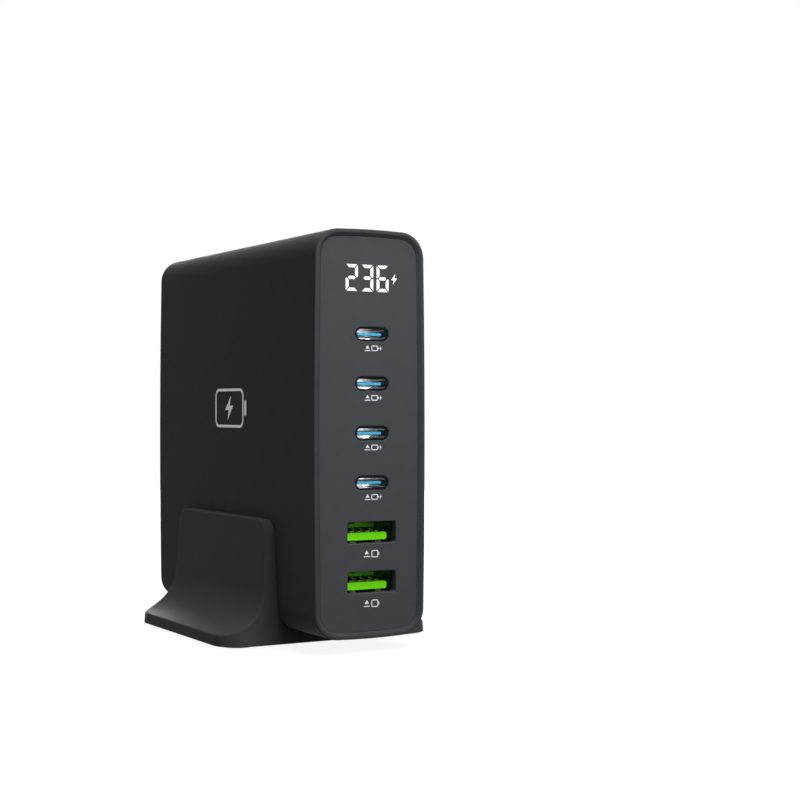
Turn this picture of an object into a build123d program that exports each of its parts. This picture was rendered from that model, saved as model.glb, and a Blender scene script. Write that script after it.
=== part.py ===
"""Six-port desktop charger that stands on edge in a cradle stand, in millimetres.

+Z is up and the ports face -Y. The origin is on the table, under the middle of the charger.
"""
import os
from math import cos, radians, sin, sqrt, tan

from build123d import *

os.makedirs("parts", exist_ok=True)

# Case: one moulded sleeve, closed at the rear, with gently crowned sides
case_width = 31.0
case_depth = 101.0
case_height = 100.0
side_crown = 0.5
end_crown = 0.54
case_corner = 6.4
case_wall = 2.6
rim_width = 0.85
front_edge_radius = 0.4
rear_edge_radius = 0.35

# Front panel: a plate set behind the bevelled rim, with a skirt that slides into the sleeve
panel_recess = 0.8
panel_thickness = 2.1
panel_gap = 0.08
skirt_gap = 0.15
skirt_wall = 1.2
skirt_depth = 3.0
opening_chamfer = 0.2

# Port column, with heights measured from the middle of the case
port_column_x = 0.8
top_port_height = 24.4
port_pitch = 12.15
usb_c_count = 4
usb_a_count = 2
socket_length = 10.6

# USB-C sockets
usb_c_opening_width = 9.35
usb_c_opening_height = 3.47
usb_c_shell_width = 8.94
usb_c_shell_height = 3.16
usb_c_shell_wall = 0.3
usb_c_shell_setback = 0.45
usb_c_tongue_width = 6.69
usb_c_tongue_thickness = 0.7
usb_c_tongue_setback = 0.9
usb_c_base_length = 6.5
usb_c_tip_chamfer = 0.15

# USB-A sockets
usb_a_opening_width = 13.43
usb_a_opening_height = 5.28
usb_a_opening_corner = 0.6
usb_a_shell_width = 13.1
usb_a_shell_height = 5.72
usb_a_shell_wall = 0.3
usb_a_shell_corner = 0.7
usb_a_tongue_width = 11.1
usb_a_tongue_thickness = 1.84
usb_a_tongue_lift = 0.55
usb_a_tongue_setback = 0.6
usb_a_tongue_corner = 0.6
usb_a_base_length = 2.4
usb_a_contact_count = 4
usb_a_contact_pitch = 2.3
usb_a_contact_width = 1.0
usb_a_contact_thickness = 0.25
usb_a_contact_length = 6.0
usb_a_contact_rise = 0.7
socket_fit = 0.05

# Display: a three-digit light module behind a thinned wall of the panel
display_drop = 12.0
display_width = 16.6
display_tall = 9.4
display_thickness = 7.0
display_wall = 0.8
display_gap = 0.2
display_leg = 1.5
digit_count = 3
digit_pitch = 4.6
digit_width = 3.0
digit_tall = 6.2
segment_width = 0.7
segment_gap = 0.15
segment_depth = 0.6

# Circuit boards and the rails that hold them
board_thickness = 1.6
port_board_gap = 0.6
main_board_gap = 3.5
board_edge_gap = 0.6
board_rear_gap = 2.0
rail_thickness = 1.5
rail_height = 2.2
rail_gap = 0.12

# Mains inlet in the rear wall, with its place measured from the middle and bottom of the case
inlet_x = -2.7
inlet_height = 16.4
inlet_opening_width = 8.5
inlet_opening_tall = 16.6
inlet_depth = 12.4
inlet_floor = 3.0
inlet_wall = 2.0
inlet_ridge_width = 3.0
inlet_ridge_rise = 0.95
inlet_frame_wall = 1.2
inlet_frame_depth = 4.0
inlet_fit = 0.15
pin_diameter = 2.4
pin_spacing = 8.6
pin_setback = 2.0
pin_shank = 2.0
pin_tip_radius = 1.0
pin_fit = 0.05
tail_diameter = 1.4
tail_run = 2.2
tail_bend = 2.0
tail_end = 1.0
tail_clearance = 0.15

# Mains input parts, placed from the rear edge and the middle of the main board
fuse_diameter = 8.5
fuse_height = 8.0
fuse_edge = 0.6
fuse_place = (8.0, -12.6)
varistor_diameter = 9.6
varistor_thickness = 4.0
varistor_lead = 0.8
varistor_lead_spacing = 5.0
varistor_lift = 2.0
varistor_place = (16.4, -12.6)
x_capacitor_length = 17.5
x_capacitor_width = 7.5
x_capacitor_height = 13.0
x_capacitor_edge = 0.8
x_capacitor_places = ((10.8, -3.2), (10.8, 27.0))
choke_outer = 16.0
choke_inner = 8.0
choke_height = 7.0
choke_winding = 1.2
choke_winding_arc = 130.0
choke_fit = 0.1
choke_place = (10.8, 11.6)
rectifier_width = 18.0
rectifier_thickness = 3.5
rectifier_height = 12.0
rectifier_notch = 2.5
rectifier_lead = 0.9
rectifier_lead_pitch = 5.0
rectifier_lead_count = 4
rectifier_lift = 2.0
rectifier_place = (10.8, 35.0)

# Boost stage, placed from the rear edge and the middle of the main board
bulk_capacitor_diameter = 14.0
bulk_capacitor_length = 25.0
bulk_capacitor_edge = 1.0
bulk_capacitor_groove = 0.6
bulk_capacitor_groove_place = 2.6
bulk_capacitor_places = ((29.2, -38.0), (29.2, -12.0))
boost_place = (29.6, 25.5)
boost_core_width = 18.0
boost_core_depth = 10.0
boost_core_height = 13.0

# Main converter and outputs, placed from the front edge and the middle of the main board
transformer_place = (22.5, -15.0)
transformer_core_width = 20.0
transformer_core_depth = 13.0
transformer_core_height = 14.5
core_leg = 2.6
core_post = 5.6
core_yoke = 2.4
bobbin_wall = 0.7
winding_margin = 0.3
winding_corner = 1.5
winding_fit = 0.1
heat_sink_place = (22.5, 10.0)
heat_sink_width = 20.0
heat_sink_height = 13.0
heat_sink_wall = 1.6
heat_sink_foot = 5.0
power_switch_count = 2
power_switch_pitch = 9.0
power_switch_width = 6.5
power_switch_height = 9.0
power_switch_thickness = 2.3
power_switch_lift = 2.0
power_switch_lead = 0.7
power_switch_lead_pitch = 2.2
power_switch_lead_count = 3
output_capacitor_count = 4
output_capacitor_pitch = 11.0
output_capacitor_diameter = 8.0
output_capacitor_height = 8.2
output_capacitor_edge = 0.5
output_capacitor_place = 6.0
buck_inductor_size = 7.0
buck_inductor_height = 4.0
buck_inductor_corner = 1.0
buck_inductor_gap = 1.0

# Sheets along the side walls
sheet_margin = 6.0
insulation_thickness = 0.4
spreader_thickness = 1.0
sheet_gap = 0.15

# Stand: a one-piece saddle with cheeks, flared into a square foot, cored from below
stand_length = 60.6
stand_draft = 4.0
seat_gap = 0.1
base_thickness = 2.92
cheek_thickness = 2.5
cheek_draft = 2.5
cheek_height = 31.2
cheek_corner = 4.2
cheek_edge = 0.5
flare_height = 11.4
foot_width = 60.0
foot_edge = 2.8
foot_corner = 7.0
core_wall = 2.4
core_bays = 3
core_bay_length = 9.5
core_rib = 1.6
pad_diameter = 9.0
pad_thickness = 1.0
pad_proud = 0.4
pad_fit = 0.1
pad_inset = 6.6

# Places that follow from the sizes above
case_bottom = pad_proud + base_thickness + seat_gap
case_middle = case_bottom + case_height / 2
front_y = -case_depth / 2
rear_y = case_depth / 2
panel_inset = rim_width + panel_recess
display_height = case_height / 2 - display_drop
panel_front_y = front_y + panel_recess
panel_back_y = panel_front_y + panel_thickness
port_board_y = panel_back_y + socket_length
port_board_back_y = port_board_y + board_thickness
rear_wall_y = rear_y - case_wall
cavity_half_width = case_width / 2 - case_wall
cavity_half_height = case_height / 2 - case_wall
port_heights = [top_port_height - port_pitch * place for place in range(usb_c_count + usb_a_count)]
usb_c_places = [(port_column_x, height) for height in port_heights[:usb_c_count]]
usb_a_places = [(port_column_x, height) for height in port_heights[usb_c_count:]]
main_board_x = cavity_half_width - main_board_gap - board_thickness
main_board_rear_y = rear_wall_y - board_rear_gap
main_board_length = main_board_rear_y - port_board_back_y
main_board_half_height = cavity_half_height - board_edge_gap
inlet_place = (inlet_x, inlet_height - case_height / 2)
inlet_length = inlet_depth - case_wall + inlet_floor
inlet_front_y = rear_wall_y - inlet_length
inlet_width = inlet_opening_width + 2 * inlet_wall
inlet_tall = inlet_opening_tall + 2 * inlet_wall
stand_bottom = pad_proud
cheek_x = case_width / 2 + seat_gap + cheek_thickness


def across(y):
    """Plane across the case at this depth, seen from the front and centred on the case."""
    return Plane(origin=(0, y, case_middle), x_dir=(1, 0, 0), z_dir=(0, -1, 0))


def on_main_board(from_front=False, lift=0.0):
    """Component face of the main board: x runs forward, y up, and the parts stand on it towards -X."""
    start_y = port_board_back_y if from_front else main_board_rear_y
    along = (0, 1, 0) if from_front else (0, -1, 0)
    plane = Plane(origin=(main_board_x, start_y, case_middle), x_dir=along, z_dir=(-1, 0, 0))
    return plane.offset(lift)


def case_outline(y, inset=0.0):
    """Crowned, round-cornered section of the case at this depth, smaller all round by the inset."""
    half_width = case_width / 2 - inset
    half_height = case_height / 2 - inset
    corner_x = half_width - side_crown
    corner_z = half_height - end_crown
    with BuildSketch(across(y)) as outline:
        with BuildLine():
            ThreePointArc((corner_x, -corner_z), (half_width, 0), (corner_x, corner_z))
            ThreePointArc((corner_x, corner_z), (0, half_height), (-corner_x, corner_z))
            ThreePointArc((-corner_x, corner_z), (-half_width, 0), (-corner_x, -corner_z))
            ThreePointArc((-corner_x, -corner_z), (0, -half_height), (corner_x, -corner_z))
        make_face()
        fillet(outline.vertices(), case_corner - inset)
    return outline.sketch


def save(piece, name):
    """Labels a finished piece and writes it under its name."""
    piece.part.label = name
    export_step(piece.part, f"parts/{name}.step")


# Housing: rim and ledge at the front, guide rails for the main board, a frame round the inlet
with BuildPart() as housing:
    extrude(case_outline(front_y), amount=-case_depth)
    extrude(case_outline(front_y, panel_inset), amount=-(panel_back_y - front_y), mode=Mode.SUBTRACT)
    extrude(case_outline(panel_back_y, case_wall), amount=-(rear_wall_y - panel_back_y), mode=Mode.SUBTRACT)
    front_rim = housing.faces().sort_by(Axis.Y)[0]
    chamfer(front_rim.inner_wires()[0].edges(), panel_recess)
    front_rim = housing.faces().sort_by(Axis.Y)[0]
    fillet(front_rim.outer_wire().edges(), front_edge_radius)
    back_face = housing.faces().sort_by(Axis.Y)[-1]
    fillet(back_face.outer_wire().edges(), rear_edge_radius)
    with BuildSketch(across(rear_wall_y)):
        for side in (-1, 1):
            rail_root = side * (cavity_half_height + case_wall / 2)
            rail_tip = side * (cavity_half_height - rail_height)
            for rail_x in (
                main_board_x - rail_gap - rail_thickness / 2,
                main_board_x + board_thickness + rail_gap + rail_thickness / 2,
            ):
                with Locations((rail_x, (rail_root + rail_tip) / 2)):
                    Rectangle(rail_thickness, abs(rail_root - rail_tip))
    extrude(amount=rear_wall_y - port_board_back_y)
    with BuildSketch(across(rear_wall_y)):
        with Locations(inlet_place):
            frame_inner = (inlet_width + 2 * inlet_fit, inlet_tall + 2 * inlet_fit)
            Rectangle(frame_inner[0] + 2 * inlet_frame_wall, frame_inner[1] + 2 * inlet_frame_wall)
            Rectangle(*frame_inner, mode=Mode.SUBTRACT)
    extrude(amount=inlet_frame_depth)
    with BuildSketch(across(rear_y)):
        with Locations(inlet_place):
            SlotOverall(inlet_opening_tall, inlet_opening_width, rotation=90)
    extrude(amount=case_wall, mode=Mode.SUBTRACT)
save(housing, "housing")

# Front panel: port openings with eased edges, a pocket that thins the wall in front of the display
with BuildPart() as front_panel:
    extrude(case_outline(panel_front_y, panel_inset + panel_gap), amount=-panel_thickness)
    skirt_inset = case_wall + skirt_gap
    extrude(case_outline(panel_back_y, skirt_inset), amount=-skirt_depth)
    extrude(case_outline(panel_back_y, skirt_inset + skirt_wall), amount=-skirt_depth, mode=Mode.SUBTRACT)
    with BuildSketch(across(panel_front_y)):
        with Locations(*usb_c_places):
            SlotOverall(usb_c_opening_width, usb_c_opening_height)
        with Locations(*usb_a_places):
            RectangleRounded(usb_a_opening_width, usb_a_opening_height, usb_a_opening_corner)
    extrude(amount=-panel_thickness, mode=Mode.SUBTRACT)
    panel_face = front_panel.faces().sort_by(Axis.Y)[0]
    chamfer([edge for wire in panel_face.inner_wires() for edge in wire.edges()], opening_chamfer)
    with BuildSketch(across(panel_front_y + display_wall)):
        with Locations((port_column_x, display_height)):
            Rectangle(display_width + 2 * display_gap, display_tall + 2 * display_gap)
    extrude(amount=-(panel_thickness - display_wall), mode=Mode.SUBTRACT)
save(front_panel, "front_panel")

# USB-C sockets: a drawn steel shell round an insulator with a thin tongue
usb_c_mouth_y = panel_front_y + usb_c_shell_setback
usb_c_root_y = port_board_y - usb_c_base_length
for number, place in enumerate(usb_c_places, start=1):
    inner_width = usb_c_shell_width - 2 * usb_c_shell_wall
    inner_height = usb_c_shell_height - 2 * usb_c_shell_wall
    with BuildPart() as usb_c_shell:
        with BuildSketch(across(usb_c_mouth_y)):
            with Locations(place):
                SlotOverall(usb_c_shell_width, usb_c_shell_height)
                SlotOverall(inner_width, inner_height, mode=Mode.SUBTRACT)
        extrude(amount=-(port_board_y - usb_c_mouth_y))
    save(usb_c_shell, f"usb_c_shell_{number}")

    with BuildPart() as usb_c_tongue:
        with BuildSketch(across(port_board_y)):
            with Locations(place):
                SlotOverall(inner_width - 2 * socket_fit, inner_height - 2 * socket_fit)
        extrude(amount=usb_c_base_length)
        with BuildSketch(across(usb_c_root_y)):
            with Locations(place):
                Rectangle(usb_c_tongue_width, usb_c_tongue_thickness)
        extrude(amount=usb_c_root_y - usb_c_mouth_y - usb_c_tongue_setback)
        chamfer(usb_c_tongue.faces().sort_by(Axis.Y)[0].edges(), usb_c_tip_chamfer)
    save(usb_c_tongue, f"usb_c_tongue_{number}")

# USB-A sockets: a folded steel shell, an insulator with a thick tongue, four arched contact springs
usb_a_tip_y = panel_back_y + usb_a_tongue_setback
usb_a_root_y = port_board_y - usb_a_base_length
for number, place in enumerate(usb_a_places, start=1):
    inner_width = usb_a_shell_width - 2 * usb_a_shell_wall
    inner_height = usb_a_shell_height - 2 * usb_a_shell_wall
    inner_corner = usb_a_shell_corner - usb_a_shell_wall
    tongue_bottom = place[1] - inner_height / 2 + usb_a_tongue_lift
    tongue_top = tongue_bottom + usb_a_tongue_thickness
    with BuildPart() as usb_a_shell:
        with BuildSketch(across(panel_back_y)):
            with Locations(place):
                RectangleRounded(usb_a_shell_width, usb_a_shell_height, usb_a_shell_corner)
                RectangleRounded(inner_width, inner_height, inner_corner, mode=Mode.SUBTRACT)
        extrude(amount=-socket_length)
    save(usb_a_shell, f"usb_a_shell_{number}")

    with BuildPart() as usb_a_tongue:
        with BuildSketch(across(port_board_y)):
            with Locations(place):
                RectangleRounded(inner_width - 2 * socket_fit, inner_height - 2 * socket_fit, inner_corner)
        extrude(amount=usb_a_base_length)
        with BuildSketch(across(usb_a_root_y)):
            with Locations((place[0], (tongue_bottom + tongue_top) / 2)):
                RectangleRounded(usb_a_tongue_width, usb_a_tongue_thickness, usb_a_tongue_corner)
        extrude(amount=usb_a_root_y - usb_a_tip_y)
    save(usb_a_tongue, f"usb_a_tongue_{number}")

    with BuildPart() as usb_a_contacts:
        spring_side = Plane(
            origin=(place[0], usb_a_root_y, case_middle + tongue_top + socket_fit),
            x_dir=(0, -1, 0),
            z_dir=(-1, 0, 0),
        )
        rise = usb_a_contact_rise
        length = usb_a_contact_length
        with BuildSketch(spring_side):
            with BuildLine():
                ThreePointArc((0, 0), (length / 2, rise), (length, 0))
                Line((length, 0), (length, usb_a_contact_thickness))
                ThreePointArc(
                    (length, usb_a_contact_thickness),
                    (length / 2, rise + usb_a_contact_thickness),
                    (0, usb_a_contact_thickness),
                )
                Line((0, usb_a_contact_thickness), (0, 0))
            make_face()
        spring = extrude(amount=usb_a_contact_width / 2, both=True, mode=Mode.PRIVATE)
        with GridLocations(usb_a_contact_pitch, 0, usb_a_contact_count, 1):
            add(spring)
    save(usb_a_contacts, f"usb_a_contacts_{number}")

# Display module: a block with segment wells in its face, on two legs from the port board
display_y = panel_front_y + display_wall + display_gap
with BuildPart() as display_module:
    with BuildSketch(across(display_y)):
        with Locations((port_column_x, display_height)):
            Rectangle(display_width, display_tall)
    extrude(amount=-display_thickness)
    with BuildSketch(across(display_y + display_thickness)):
        with Locations((port_column_x, display_height)):
            with GridLocations(0, display_tall - display_leg, 1, 2):
                Rectangle(display_width, display_leg)
    extrude(amount=-(port_board_y - display_y - display_thickness))
    with BuildSketch(across(display_y)):
        bar_length = digit_width - segment_width - 2 * segment_gap
        post_length = digit_tall / 2 - segment_width / 2 - 2 * segment_gap
        with Locations((port_column_x, display_height)):
            with GridLocations(digit_pitch, 0, digit_count, 1):
                with GridLocations(0, (digit_tall - segment_width) / 2, 1, 3):
                    Rectangle(bar_length, segment_width)
                with GridLocations(digit_width - segment_width, digit_tall / 2, 2, 2):
                    Rectangle(segment_width, post_length - segment_width / 2)
    extrude(amount=-segment_depth, mode=Mode.SUBTRACT)
save(display_module, "display_module")

# Port board, straight across the case behind the sockets
with BuildPart() as port_board:
    extrude(case_outline(port_board_y, case_wall + port_board_gap), amount=-board_thickness)
save(port_board, "port_board")

# Mains inlet: a moulded block with a figure-eight recess and two round pins with bent tails
with BuildPart() as mains_inlet:
    with BuildSketch(across(rear_wall_y)):
        with Locations(inlet_place):
            Rectangle(inlet_width, inlet_tall)
    extrude(amount=inlet_length)
    with BuildSketch(across(rear_wall_y)):
        with Locations(inlet_place):
            SlotOverall(inlet_opening_tall, inlet_opening_width, rotation=90)
            for side in (-1, 1):
                ridge_root = side * inlet_opening_width / 2
                ridge_tip = side * (inlet_opening_width / 2 - inlet_ridge_rise)
                half_ridge = inlet_ridge_width / 2
                Polygon(
                    (ridge_root, -half_ridge),
                    (ridge_tip, 0),
                    (ridge_root, half_ridge),
                    align=None,
                    mode=Mode.SUBTRACT,
                )
    extrude(amount=inlet_length - inlet_floor, mode=Mode.SUBTRACT)
    with BuildSketch(across(inlet_front_y)):
        with Locations(inlet_place):
            with GridLocations(0, pin_spacing, 1, 2):
                Circle(pin_shank / 2 + pin_fit)
    extrude(amount=-inlet_floor, mode=Mode.SUBTRACT)
save(mains_inlet, "mains_inlet")

tail_y = inlet_front_y - tail_run - tail_bend
pin_heights = [inlet_place[1] - pin_spacing / 2, inlet_place[1] + pin_spacing / 2]
for number, pin_height in enumerate(pin_heights, start=1):
    with BuildPart() as inlet_pin:
        with BuildSketch(across(inlet_front_y)):
            with Locations((inlet_x, pin_height)):
                Circle(pin_shank / 2)
        extrude(amount=-inlet_floor)
        with BuildSketch(across(inlet_front_y + inlet_floor)):
            with Locations((inlet_x, pin_height)):
                Circle(pin_diameter / 2)
        extrude(amount=-(rear_y - pin_setback - inlet_front_y - inlet_floor))
        fillet(inlet_pin.faces().sort_by(Axis.Y)[-1].edges(), pin_tip_radius)
        tail_z = case_middle + pin_height
        with BuildLine() as tail_path:
            FilletPolyline(
                (inlet_x, inlet_front_y, tail_z),
                (inlet_x, tail_y, tail_z),
                (main_board_x + board_thickness + tail_end, tail_y, tail_z),
                radius=tail_bend,
            )
        with BuildSketch(across(inlet_front_y)):
            with Locations((inlet_x, pin_height)):
                Circle(tail_diameter / 2)
        sweep(path=tail_path.line)
    save(inlet_pin, f"inlet_pin_{number}")

# Main board, upright in its rails, with holes for the inlet's tails
with BuildPart() as main_board:
    with BuildSketch(on_main_board()):
        with Locations((main_board_length / 2, 0)):
            Rectangle(main_board_length, 2 * main_board_half_height)
        with Locations(*[(main_board_rear_y - tail_y, pin_height) for pin_height in pin_heights]):
            Circle(tail_diameter / 2 + tail_clearance, mode=Mode.SUBTRACT)
    extrude(amount=-board_thickness)
save(main_board, "main_board")

# Fuse: a small round can
with BuildPart() as fuse:
    with BuildSketch(on_main_board()):
        with Locations(fuse_place):
            Circle(fuse_diameter / 2)
    extrude(amount=fuse_height)
    chamfer(fuse.faces().sort_by(Axis.X)[0].edges(), fuse_edge)
save(fuse, "fuse")

# Varistor: a dipped disc on edge, on two wire leads
with BuildPart() as varistor:
    disc_x = main_board_x - varistor_lift - varistor_diameter / 2
    with BuildSketch(across(main_board_rear_y - varistor_place[0])):
        with Locations((disc_x, varistor_place[1])):
            Circle(varistor_diameter / 2)
    extrude(amount=varistor_thickness / 2, both=True)
    with BuildSketch(on_main_board()):
        with Locations(varistor_place):
            with GridLocations(0, varistor_lead_spacing, 1, 2):
                Circle(varistor_lead / 2)
    extrude(amount=varistor_lift + varistor_diameter / 2)
save(varistor, "varistor")

# Film capacitors across the mains: potted boxes
for number, place in enumerate(x_capacitor_places, start=1):
    with BuildPart() as x_capacitor:
        with BuildSketch(on_main_board()):
            with Locations(place):
                Rectangle(x_capacitor_length, x_capacitor_width)
        extrude(amount=x_capacitor_height)
        fillet(x_capacitor.faces().sort_by(Axis.X)[0].edges(), x_capacitor_edge)
    save(x_capacitor, f"x_capacitor_{number}")

# Common-mode choke: a ferrite ring with two windings round it, flat on the board
choke_y = main_board_rear_y - choke_place[0]
choke_z = case_middle + choke_place[1]
choke_lift = choke_winding + choke_fit
with BuildPart() as choke_core:
    with BuildSketch(on_main_board(lift=choke_lift)):
        with Locations(choke_place):
            Circle(choke_outer / 2)
            Circle(choke_inner / 2, mode=Mode.SUBTRACT)
    extrude(amount=choke_height)
save(choke_core, "choke_core")

with BuildPart() as choke_windings:
    choke_axis = Axis((main_board_x, choke_y, choke_z), (-1, 0, 0))
    half_arc = radians(choke_winding_arc / 2)
    section_plane = Plane(
        origin=(main_board_x, choke_y, choke_z),
        x_dir=(0, -sin(half_arc), cos(half_arc)),
        z_dir=(0, -cos(half_arc), -sin(half_arc)),
    )
    ring_middle = (choke_outer + choke_inner) / 4
    ring_width = (choke_outer - choke_inner) / 2
    with BuildSketch(section_plane):
        with Locations((ring_middle, choke_lift + choke_height / 2)):
            Rectangle(ring_width + 2 * choke_lift, choke_height + 2 * choke_lift)
            Rectangle(ring_width + 2 * choke_fit, choke_height + 2 * choke_fit, mode=Mode.SUBTRACT)
    revolve(axis=choke_axis, revolution_arc=choke_winding_arc)
    mirror(about=Plane.XY.offset(choke_z))
save(choke_windings, "choke_windings")

# Bridge rectifier: a flat moulded block with one cut corner, on four leads
with BuildPart() as bridge_rectifier:
    with BuildSketch(on_main_board(lift=rectifier_lift)):
        with Locations(rectifier_place):
            Rectangle(rectifier_width, rectifier_thickness)
    extrude(amount=rectifier_height)
    cut_edge = bridge_rectifier.edges().filter_by(Axis.Z).group_by(Axis.X)[0].sort_by(Axis.Y)[0]
    chamfer(cut_edge, rectifier_notch)
    with BuildSketch(on_main_board()):
        with Locations(rectifier_place):
            with GridLocations(rectifier_lead_pitch, 0, rectifier_lead_count, 1):
                Rectangle(rectifier_lead, rectifier_lead)
    extrude(amount=rectifier_lift)
save(bridge_rectifier, "bridge_rectifier")

# Bulk capacitors: aluminium cans that lie along the board, with a crimped groove
for number, place in enumerate(bulk_capacitor_places, start=1):
    can_radius = bulk_capacitor_diameter / 2
    can_start = Plane(
        origin=(main_board_x - can_radius, main_board_rear_y - place[0], case_middle + place[1]),
        x_dir=(0, 0, 1),
        z_dir=(0, -1, 0),
    )
    with BuildPart() as bulk_capacitor:
        with BuildSketch(can_start):
            with BuildLine():
                groove = bulk_capacitor_groove
                groove_place = bulk_capacitor_groove_place
                Polyline(
                    (0, 0),
                    (0, can_radius),
                    (groove_place - groove, can_radius),
                    (groove_place, can_radius - groove),
                    (groove_place + groove, can_radius),
                    (bulk_capacitor_length, can_radius),
                    (bulk_capacitor_length, 0),
                    close=True,
                )
            make_face()
        revolve(axis=Axis(can_start.origin, can_start.x_dir))
        rims = bulk_capacitor.faces().filter_by(GeomType.PLANE)
        chamfer([edge for rim in rims for edge in rim.edges()], bulk_capacitor_edge)
    save(bulk_capacitor, f"bulk_capacitor_{number}")


def wound_core(name, plane, place, width, depth, height):
    """Ferrite core with two windows, a bobbin on its middle post and the winding on the bobbin."""
    window = (width - core_post - 2 * core_leg) / 2
    window_height = height - 2 * core_yoke
    seat = plane.offset(core_yoke)
    with BuildPart() as core:
        with BuildSketch(plane):
            with Locations(place):
                Rectangle(width, depth)
        extrude(amount=height)
        with BuildSketch(seat):
            with Locations(place):
                with GridLocations(core_post + window, 0, 2, 1):
                    Rectangle(window, depth)
        extrude(amount=window_height, mode=Mode.SUBTRACT)
    save(core, f"{name}_core")

    inner = (core_post + 2 * winding_fit, depth + 2 * winding_fit)
    tube = (inner[0] + 2 * bobbin_wall, inner[1] + 2 * bobbin_wall)
    winding_thickness = window - winding_fit - bobbin_wall - winding_margin
    wound = (tube[0] + 2 * winding_thickness, tube[1] + 2 * winding_thickness)
    bobbin_height = window_height - 2 * winding_fit
    with BuildPart() as bobbin:
        with BuildSketch(seat.offset(winding_fit)):
            with Locations(place):
                Rectangle(*tube)
        extrude(amount=bobbin_height)
        for flange_lift in (winding_fit, winding_fit + bobbin_height - bobbin_wall):
            with BuildSketch(seat.offset(flange_lift)):
                with Locations(place):
                    RectangleRounded(*wound, winding_corner)
            extrude(amount=bobbin_wall)
        with BuildSketch(seat.offset(winding_fit)):
            with Locations(place):
                Rectangle(*inner)
        extrude(amount=bobbin_height, mode=Mode.SUBTRACT)
    save(bobbin, f"{name}_bobbin")

    with BuildPart() as winding:
        with BuildSketch(seat.offset(2 * winding_fit + bobbin_wall)):
            with Locations(place):
                RectangleRounded(*wound, winding_corner)
                Rectangle(tube[0] + 2 * winding_fit, tube[1] + 2 * winding_fit, mode=Mode.SUBTRACT)
        extrude(amount=bobbin_height - 2 * bobbin_wall - 2 * winding_fit)
    save(winding, f"{name}_winding")


wound_core("boost", on_main_board(), boost_place, boost_core_width, boost_core_depth, boost_core_height)
wound_core(
    "transformer",
    on_main_board(from_front=True),
    (transformer_place[0], -transformer_place[1]),
    transformer_core_width,
    transformer_core_depth,
    transformer_core_height,
)

# Heat sink: an upright plate with a foot on the board, and the two switches flat against it
sink_plane = on_main_board(from_front=True)
sink_middle = (heat_sink_place[0], -heat_sink_place[1])
with BuildPart() as heat_sink:
    with BuildSketch(sink_plane):
        with Locations(sink_middle):
            Rectangle(heat_sink_width, heat_sink_wall)
    extrude(amount=heat_sink_height)
    with BuildSketch(sink_plane):
        with Locations((sink_middle[0], sink_middle[1] - heat_sink_foot / 2)):
            Rectangle(heat_sink_width, heat_sink_foot)
    extrude(amount=heat_sink_wall)
save(heat_sink, "heat_sink")

switch_shift = (heat_sink_wall + power_switch_thickness) / 2
for number in range(1, power_switch_count + 1):
    switch_along = (number - (power_switch_count + 1) / 2) * power_switch_pitch
    with BuildPart() as power_switch:
        with BuildSketch(sink_plane.offset(power_switch_lift)):
            with Locations((sink_middle[0] + switch_along, sink_middle[1] + switch_shift)):
                Rectangle(power_switch_width, power_switch_thickness)
        extrude(amount=power_switch_height)
        with BuildSketch(sink_plane):
            with Locations((sink_middle[0] + switch_along, sink_middle[1] + switch_shift)):
                with GridLocations(power_switch_lead_pitch, 0, power_switch_lead_count, 1):
                    Rectangle(power_switch_lead, power_switch_lead)
        extrude(amount=power_switch_lift)
    save(power_switch, f"power_switch_{number}")

# Output capacitors: short cans in a column beside the port board
for number in range(1, output_capacitor_count + 1):
    can_height = ((output_capacitor_count + 1) / 2 - number) * output_capacitor_pitch
    with BuildPart() as output_capacitor:
        with BuildSketch(on_main_board(from_front=True)):
            with Locations((output_capacitor_place, -can_height)):
                Circle(output_capacitor_diameter / 2)
        extrude(amount=output_capacitor_height)
        chamfer(output_capacitor.faces().sort_by(Axis.X)[0].edges(), output_capacitor_edge)
    save(output_capacitor, f"output_capacitor_{number}")

# Converter inductors: pressed blocks on the rear of the port board, one for each USB-C socket
inductor_x = -cavity_half_width + port_board_gap + buck_inductor_gap + buck_inductor_size / 2
for number, (_, height) in enumerate(usb_c_places, start=1):
    with BuildPart() as buck_inductor:
        with BuildSketch(across(port_board_back_y)):
            with Locations((inductor_x, height)):
                RectangleRounded(buck_inductor_size, buck_inductor_size, buck_inductor_corner)
        extrude(amount=-buck_inductor_height)
    save(buck_inductor, f"buck_inductor_{number}")

# Sheets that stand against the side walls: film behind the board, aluminium beside the parts
sheet_x = cavity_half_width - side_crown - sheet_gap
sheet_front_y = port_board_back_y + buck_inductor_height + buck_inductor_gap
sheet_length = rear_wall_y - board_rear_gap - sheet_front_y
for name, start_x, thickness in (
    ("insulation_sheet", sheet_x - insulation_thickness, insulation_thickness),
    ("heat_spreader", -sheet_x, spreader_thickness),
):
    with BuildPart() as sheet:
        with BuildSketch(Plane.YZ.offset(start_x)):
            with Locations((sheet_front_y + sheet_length / 2, case_middle)):
                Rectangle(sheet_length, 2 * (cavity_half_height - sheet_margin))
        extrude(amount=thickness)
    save(sheet, name)

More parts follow.
